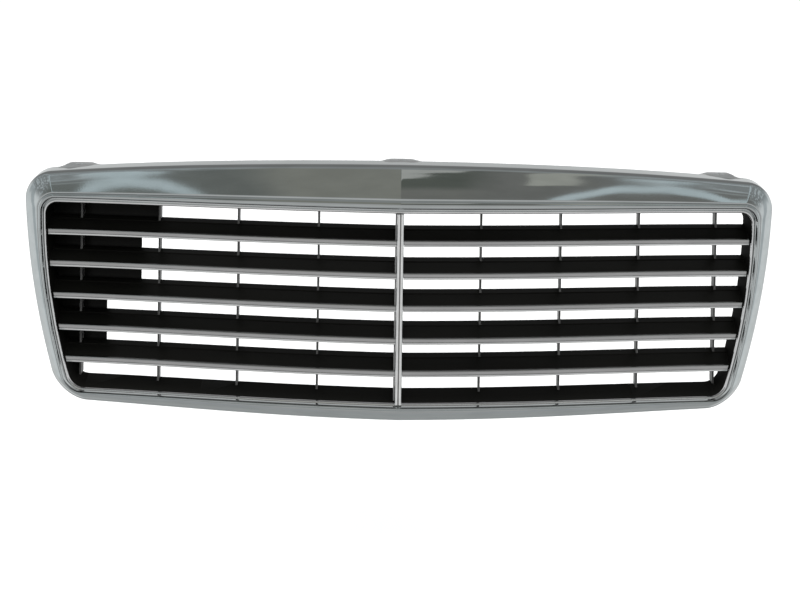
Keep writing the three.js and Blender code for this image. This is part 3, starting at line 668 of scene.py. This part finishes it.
SLAT_TOP = SLAT_HEIGHT / 2
SLAT_LIP_TOP = -0.9
SLOT_HALF = BLADE_THICKNESS / 2 + SLOT_CLEARANCE
SLAT_SECTION = [
    (SLAT_DEPTH, SLAT_TOP, 0.15),
    (1, SLAT_TOP, 0.5),
    (0.3, SLAT_TOP - 0.7, 0.5),
    (0.3, -0.5, 0.25),
    (0.8, -0.8, 0.15),
    (-0.4, -1.15, 0.2),
    (0.15, 0.3 - SLAT_TOP, 0.3),
    (1.0, -SLAT_TOP, 0.4),
    (SLAT_DEPTH, -SLAT_TOP, 0.15),
    (SLAT_DEPTH, -SLOT_HALF, 0.1),
    (SLOT_DEPTH, -SLOT_HALF, 0.1),
    (SLOT_DEPTH, SLOT_HALF, 0.1),
    (SLAT_DEPTH, SLOT_HALF, 0.1),
]


def row_piece(section, row, hand, start, end_gap):
    """A section run from near the centre line out to the opening's side."""

    def place(point, t):
        z = point.y - row * ROW_PITCH
        end = RING.half_width_at(z) - end_gap
        return on_face(hand * (start + (end - start) * t), z, point.x)

    return run_mesh(section, RUN_STEPS, place)


def build_blade(row, hand, label):
    start = POST_WIDTH / 2 - hand * POST_OFFSET + POST_GAP
    vertices, faces = row_piece(BLADE_SECTION, row, hand, start, BLADE_END_GAP - CARRIER_INSET)
    new_piece(f"blade_{label}", vertices, faces, BLACK, [f"louvre_{label}"])


def build_strip(row, hand, label):
    """A slat whose narrow lower lip gets a brighter chrome than the face above it, as a painted highlight.
    """
    start = BAR_WIDTH / 2 + SLAT_BAR_GAP
    vertices, faces = row_piece(SLAT_SECTION, row, hand, start, SLAT_END_GAP)
    strip = new_piece(f"strip_{label}", vertices, faces, TRIM_CHROME, [f"slat_{label}"])
    lip_top = SLAT_LIP_TOP - row * ROW_PITCH - SEAT_Z
    # Painted highlight: the lip's front faces get the brighter chrome.
    refinish_front(strip, BRIGHT_CHROME_AND_HIGHLIGHT, lambda centre: centre.z < lip_top)


def build_rows():
    for row in range(SLAT_ROWS):
        for side, hand in (("left", -1), ("right", 1)):
            label = f"{side}_{row + 1}"
            build_blade(row, hand, label)
            build_strip(row, hand, label)


def build_bar():
    """The upright bar on the centre line: two bright ridges with a groove between them, whose front faces
    get a darker chrome as painted shade.
    """
    half = BAR_WIDTH / 2
    section = [
        (-half, 1.2, 0.2),
        (-half, BAR_FRONT + 1.6, 0.8),
        (0.5 - half, BAR_FRONT + 0.5, SOFT),
        (1.3 - half, BAR_FRONT, SOFT),
        (2.1 - half, BAR_FRONT + 0.5, SOFT),
        (-0.4, BAR_FRONT + BAR_GROOVE, 0.3),
        (0.4, BAR_FRONT + BAR_GROOVE, 0.3),
        (half - 2.1, BAR_FRONT + 0.5, SOFT),
        (half - 1.3, BAR_FRONT, SOFT),
        (half - 0.5, BAR_FRONT + 0.5, SOFT),
        (half, BAR_FRONT + 1.6, 0.8),
        (half, 1.2, 0.2),
    ]
    low, high = OPENING_BOTTOM - BAR_FOOT, OPENING_TOP - BAR_TOP_GAP

    def place(point, t):
        z = low + (high - low) * t
        return Vector((point.x, LEAN * z + point.y - SEAT_Y, z - SEAT_Z)) * MM

    vertices, faces = run_mesh(section, RUN_STEPS, place)
    strip = new_piece("centre_strip", vertices, faces, BAR_CHROME, ["centre_bar"])
    # The groove's front faces take the darker chrome: painted shade.
    refinish_front(strip, GROOVE_PAINTED_SHADE_CHROME, lambda centre: abs(centre.x) < GROOVE_REACH)


# ---------- CAD pieces whose shape is right ----------

FINISHES = {
    "insert_carrier": DULL_BLACK,
    "rib_": RIB_BLACK_PAINTED_HIGHLIGHT,
    "centre_post": POST_GREY,
    "blanking_panel": BLACK,
    "insert_screw_": ZINC,
    "panel_screw_": ZINC,
}


WELD_DISTANCE = 0.01 * MM
EDGE_ROUNDING = 0.15 * MM
ROUNDED_ANGLE = math.radians(40)


def finish_cad_pieces():
    """Materials and slightly rounded edges for the CAD nodes that no visible piece replaces."""
    for name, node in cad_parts.items():
        for prefix, material in FINISHES.items():
            if name.startswith(prefix):
                node.data.materials.clear()
                node.data.materials.append(material)
                weld = node.modifiers.new("weld", "WELD")
                weld.merge_threshold = WELD_DISTANCE
                bevel = node.modifiers.new("bevel", "BEVEL")
                bevel.width = EDGE_ROUNDING
                bevel.segments = 2
                bevel.limit_method = "ANGLE"
                bevel.angle_limit = ROUNDED_ANGLE


# ---------- Camera ----------

LENS = 61.74
TARGET = Vector((0.61, -SEAT_Y, -54.1 - SEAT_Z)) * MM  # on the slats' face, near their middle
DISTANCE = 1.3136
AZIMUTH = math.radians(0.78)
ELEVATION = math.radians(11.51)
ROLL = math.radians(1.02)


def build_camera():
    forward = Vector((
        math.sin(AZIMUTH) * math.cos(ELEVATION),
        math.cos(AZIMUTH) * math.cos(ELEVATION),
        -math.sin(ELEVATION),
    ))
    level = Vector((math.cos(AZIMUTH), -math.sin(AZIMUTH), 0))
    upright = level.cross(forward)
    right = level * math.cos(ROLL) + upright * math.sin(ROLL)
    up = upright * math.cos(ROLL) - level * math.sin(ROLL)
    data = bpy.data.cameras.new("camera")
    data.lens = LENS
    data.sensor_width = 36
    camera = bpy.data.objects.new("camera", data)
    turn = Matrix((right, up, -forward)).transposed().to_4x4()
    camera.matrix_world = Matrix.Translation(TARGET - forward * DISTANCE) @ turn
    bpy.context.scene.collection.objects.link(camera)
    bpy.context.scene.camera = camera


# ---------- Studio ----------


class Sky:
    """The world's node tree, which works in directions: x to the right, y to the rear, z up."""

    def __init__(self):
        world = bpy.data.worlds.new("studio")
        bpy.context.scene.world = world
        world.use_nodes = True
        self.tree = world.node_tree
        self.tree.nodes.clear()
        self.direction = self.tree.nodes.new("ShaderNodeTexCoord").outputs["Generated"]
        split = self.tree.nodes.new("ShaderNodeSeparateXYZ")
        self.tree.links.new(self.direction, split.inputs["Vector"])
        self.x, self.y, self.z = split.outputs

    def feed(self, socket, value):
        if isinstance(value, (int, float)):
            socket.default_value = value
        elif isinstance(value, tuple):
            socket.default_value = (*value, 1)
        else:
            self.tree.links.new(value, socket)

    def maths(self, operation, first, second=0.0):
        node = self.tree.nodes.new("ShaderNodeMath")
        node.operation = operation
        self.feed(node.inputs[0], first)
        self.feed(node.inputs[1], second)
        return node.outputs[0]

    def step(self, value, low, high):
        node = self.tree.nodes.new("ShaderNodeMapRange")
        node.interpolation_type = "SMOOTHSTEP"
        node.inputs["From Min"].default_value = low
        node.inputs["From Max"].default_value = high
        self.feed(node.inputs["Value"], value)
        return node.outputs["Result"]

    def band(self, value, low, high, blur):
        rising = self.step(value, low - blur, low)
        falling = self.step(value, high + blur, high)
        return self.maths("MULTIPLY", rising, falling)

    def slanted(self, value, other, share):
        return self.maths("SUBTRACT", value, self.maths("MULTIPLY", other, share))

    def mix(self, factor, first, second):
        node = self.tree.nodes.new("ShaderNodeMix")
        node.data_type = "RGBA"
        self.feed(node.inputs["Factor"], factor)
        self.feed(node.inputs[6], first)
        self.feed(node.inputs[7], second)
        return node.outputs[2]

    def noise(self, scale, detail):
        node = self.tree.nodes.new("ShaderNodeTexNoise")
        node.inputs["Scale"].default_value = scale
        node.inputs["Detail"].default_value = detail
        self.feed(node.inputs["Vector"], self.direction)
        return node.outputs["Fac"]

    def finish(self, light, seen_colour):
        """The camera itself sees a plain sweep; everything else is lit by and mirrors the studio."""
        nodes, links = self.tree.nodes, self.tree.links
        lit = nodes.new("ShaderNodeBackground")
        links.new(light, lit.inputs["Color"])
        plain = nodes.new("ShaderNodeBackground")
        plain.inputs["Color"].default_value = (*seen_colour, 1)
        choose = nodes.new("ShaderNodeMixShader")
        links.new(nodes.new("ShaderNodeLightPath").outputs["Is Camera Ray"], choose.inputs[0])
        links.new(lit.outputs[0], choose.inputs[1])
        links.new(plain.outputs[0], choose.inputs[2])
        links.new(choose.outputs[0], nodes.new("ShaderNodeOutputWorld").inputs["Surface"])


FAR_LEFT_CEILING = (0.19, 0.2, 0.19)
OLIVE_CEILING = (0.29, 0.29, 0.262)
LOW_CEILING = (0.22, 0.22, 0.205)
DARK_CEILING = (0.13, 0.14, 0.125)
FAR_RIGHT_CEILING = (0.21, 0.21, 0.2)
PALE_PANEL = (0.62, 0.71, 0.74)
OLIVE_PANEL = (0.45, 0.45, 0.41)


def front_of_room(sky):
    """In front, from the floor up: pale floor, room, and a dark ceiling over the camera."""
    x, z = sky.x, sky.z
    front = sky.mix(sky.step(z, -0.75, -0.4), (0.48, 0.48, 0.48), (0.62, 0.63, 0.63))
    front = sky.mix(sky.step(z, -0.3, 0.1), front, (0.54, 0.54, 0.54))
    ceiling = sky.mix(sky.step(x, -0.36, -0.27), FAR_LEFT_CEILING, OLIVE_CEILING)
    dark_ceiling = sky.mix(sky.step(z, 0.72, 0.79), LOW_CEILING, DARK_CEILING)
    ceiling = sky.mix(sky.step(x, -0.03, 0.03), ceiling, dark_ceiling)
    ceiling = sky.mix(sky.step(x, 0.2, 0.3), ceiling, FAR_RIGHT_CEILING)
    above = sky.step(sky.slanted(z, x, 0.15), 0.832, 0.839)
    patch = sky.maths("MULTIPLY", sky.band(x, 0.02, 0.2, 0.02), above)
    ceiling = sky.mix(patch, ceiling, (0.5, 0.5, 0.48))
    return sky.mix(sky.step(z, 0.45, 0.66), front, ceiling)


def sides_and_rear(sky, azimuth):
    """Pale walls with a darker curtain on each side, under a clouded ceiling, and a duller rear wall."""
    z = sky.z
    around = sky.mix(sky.step(z, -0.6, -0.3), (0.47, 0.47, 0.48), (0.86, 0.88, 0.89))
    curtain = sky.maths("MULTIPLY", sky.band(azimuth, 1.5, 1.64, 0.08), 0.7)
    around = sky.mix(curtain, around, (0.42, 0.47, 0.49))
    clouds = sky.step(sky.noise(16.0, 4.0), 0.5, 0.62)
    ceiling = sky.mix(clouds, (0.3, 0.315, 0.32), (0.6, 0.65, 0.67))
    around = sky.mix(sky.step(z, 0.35, 0.62), around, ceiling)
    behind = sky.mix(sky.step(z, -0.75, -0.3), (0.45, 0.46, 0.46), (0.72, 0.73, 0.73))
    behind = sky.mix(sky.step(z, 0.2, 0.4), behind, (0.24, 0.24, 0.24))
    return sky.mix(sky.step(azimuth, 1.9, 2.4), around, behind)


def add_ceiling_panels(sky, room):
    """Long pale panels that run from front to rear on both sides, and a short olive one on the right."""
    x, y, z = sky.x, sky.y, sky.z
    ahead = sky.step(y, 0.1, -0.1)
    high = sky.maths("MULTIPLY", sky.step(z, 0.5, 0.62), ahead)
    left = sky.band(x, -0.422, -0.408, 0.003)
    right = sky.band(sky.slanted(x, z, 0.25), 0.2175, 0.243, 0.003)
    room = sky.mix(sky.maths("MULTIPLY", sky.maths("ADD", left, right), high), room, PALE_PANEL)
    above = sky.step(sky.slanted(z, x, 0.15), 0.745, 0.755)
    short = sky.maths("MULTIPLY", sky.band(x, 0.325, 0.385, 0.006), above)
    return sky.mix(sky.maths("MULTIPLY", short, ahead), room, OLIVE_PANEL)


def build_world():
    sky = Sky()
    azimuth = sky.maths("ABSOLUTE", sky.maths("ARCTAN2", sky.x, sky.maths("MULTIPLY", sky.y, -1.0)))
    room = sky.mix(sky.step(azimuth, 0.75, 1.35), front_of_room(sky), sides_and_rear(sky, azimuth))
    room = sky.mix(sky.step(sky.z, 0.92, 0.97), room, (0.33, 0.34, 0.34))
    room = add_ceiling_panels(sky, room)
    sky.finish(room, (1.06, 1.06, 1.06))


def build_floor():
    """A wide pale floor, well below the grille, which hangs by its ears."""
    HALF = 12.0
    DROP = 0.16
    level = CAD_BOX[0].z - DROP
    vertices = [(-HALF, -HALF, level), (HALF, -HALF, level), (HALF, HALF, level), (-HALF, HALF, level)]
    mesh = bpy.data.meshes.new("floor")
    mesh.from_pydata(vertices, [], [(0, 1, 2, 3)])
    floor = bpy.data.objects.new("floor", mesh)
    bpy.context.scene.collection.objects.link(floor)
    nodes = Nodes("pale_floor")
    mottle = nodes.noise(3, detail=3)
    nodes.link(nodes.mix(mottle, (0.94, 0.94, 0.94), (0.97, 0.97, 0.97)), nodes.shader.inputs["Base Color"])
    nodes.shader.inputs["Roughness"].default_value = 1.0
    nodes.shader.inputs["Specular IOR Level"].default_value = 0.0
    mesh.materials.append(nodes.material)
    floor.visible_glossy = False


def build_lights():
    """A very wide overhead light, and a softbox behind the camera."""
    overhead = bpy.data.lights.new("overhead", "SUN")
    overhead.energy = 3.2
    overhead.angle = math.radians(100)
    light = bpy.data.objects.new("overhead", overhead)
    light.matrix_world = Matrix.Rotation(math.radians(12), 4, "X")
    light.visible_glossy = False
    bpy.context.scene.collection.objects.link(light)
    softbox = bpy.data.lights.new("softbox", "AREA")
    softbox.shape = "RECTANGLE"
    softbox.size, softbox.size_y = 2.4, 1.2
    softbox.energy = 18
    light = bpy.data.objects.new("softbox", softbox)
    place = Vector((0.6, -2.2, 1.1))
    aim = ((CAD_BOX[0] + CAD_BOX[1]) / 2 - place).to_track_quat("-Z", "Y")
    light.matrix_world = Matrix.Translation(place) @ aim.to_matrix().to_4x4()
    light.visible_glossy = False
    bpy.context.scene.collection.objects.link(light)


build_camera()
build_surround()
build_trim_ring()
build_rows()
build_bar()
finish_cad_pieces()
build_world()
build_floor()
build_lights()
bpy.context.scene.view_settings.view_transform = "Standard"
